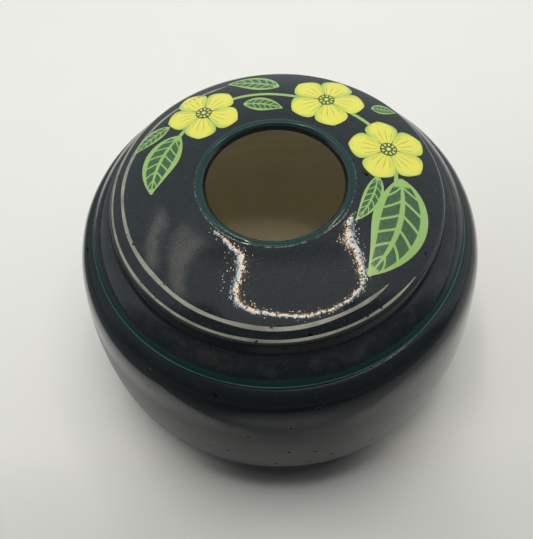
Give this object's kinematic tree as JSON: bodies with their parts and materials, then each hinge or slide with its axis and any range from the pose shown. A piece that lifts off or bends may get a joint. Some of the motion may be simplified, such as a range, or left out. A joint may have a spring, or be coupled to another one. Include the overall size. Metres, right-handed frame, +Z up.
{
  "type": "hair receiver",
  "caption": "Squat round pottery jar with a lift-off stepped lid. Hair from a comb or brush is dropped through the round hole in the middle of the lid.",
  "frame": {"origin": "centre of the bowl's foot ring, on the surface that it stands on", "axes": "+Z up along the axis on which both pieces were thrown; X and Y are across, and the side seen in front in the picture faces -Y"},
  "size_m": [0.1144, 0.1144, 0.0707],
  "materials": {
    "bowl_glaze": "gloss",
    "lid_glaze": "gloss"
  },
  "bodies": {
    "bowl": {"bowl": "bowl_glaze"},
    "lid": {"lid": "lid_glaze"}
  },
  "joints": [
    {"name": "lid_lift", "type": "slide", "parent": "bowl", "child": "lid", "axis": [0, 0, 1], "range_m": [0, 0.06]}
  ]
}
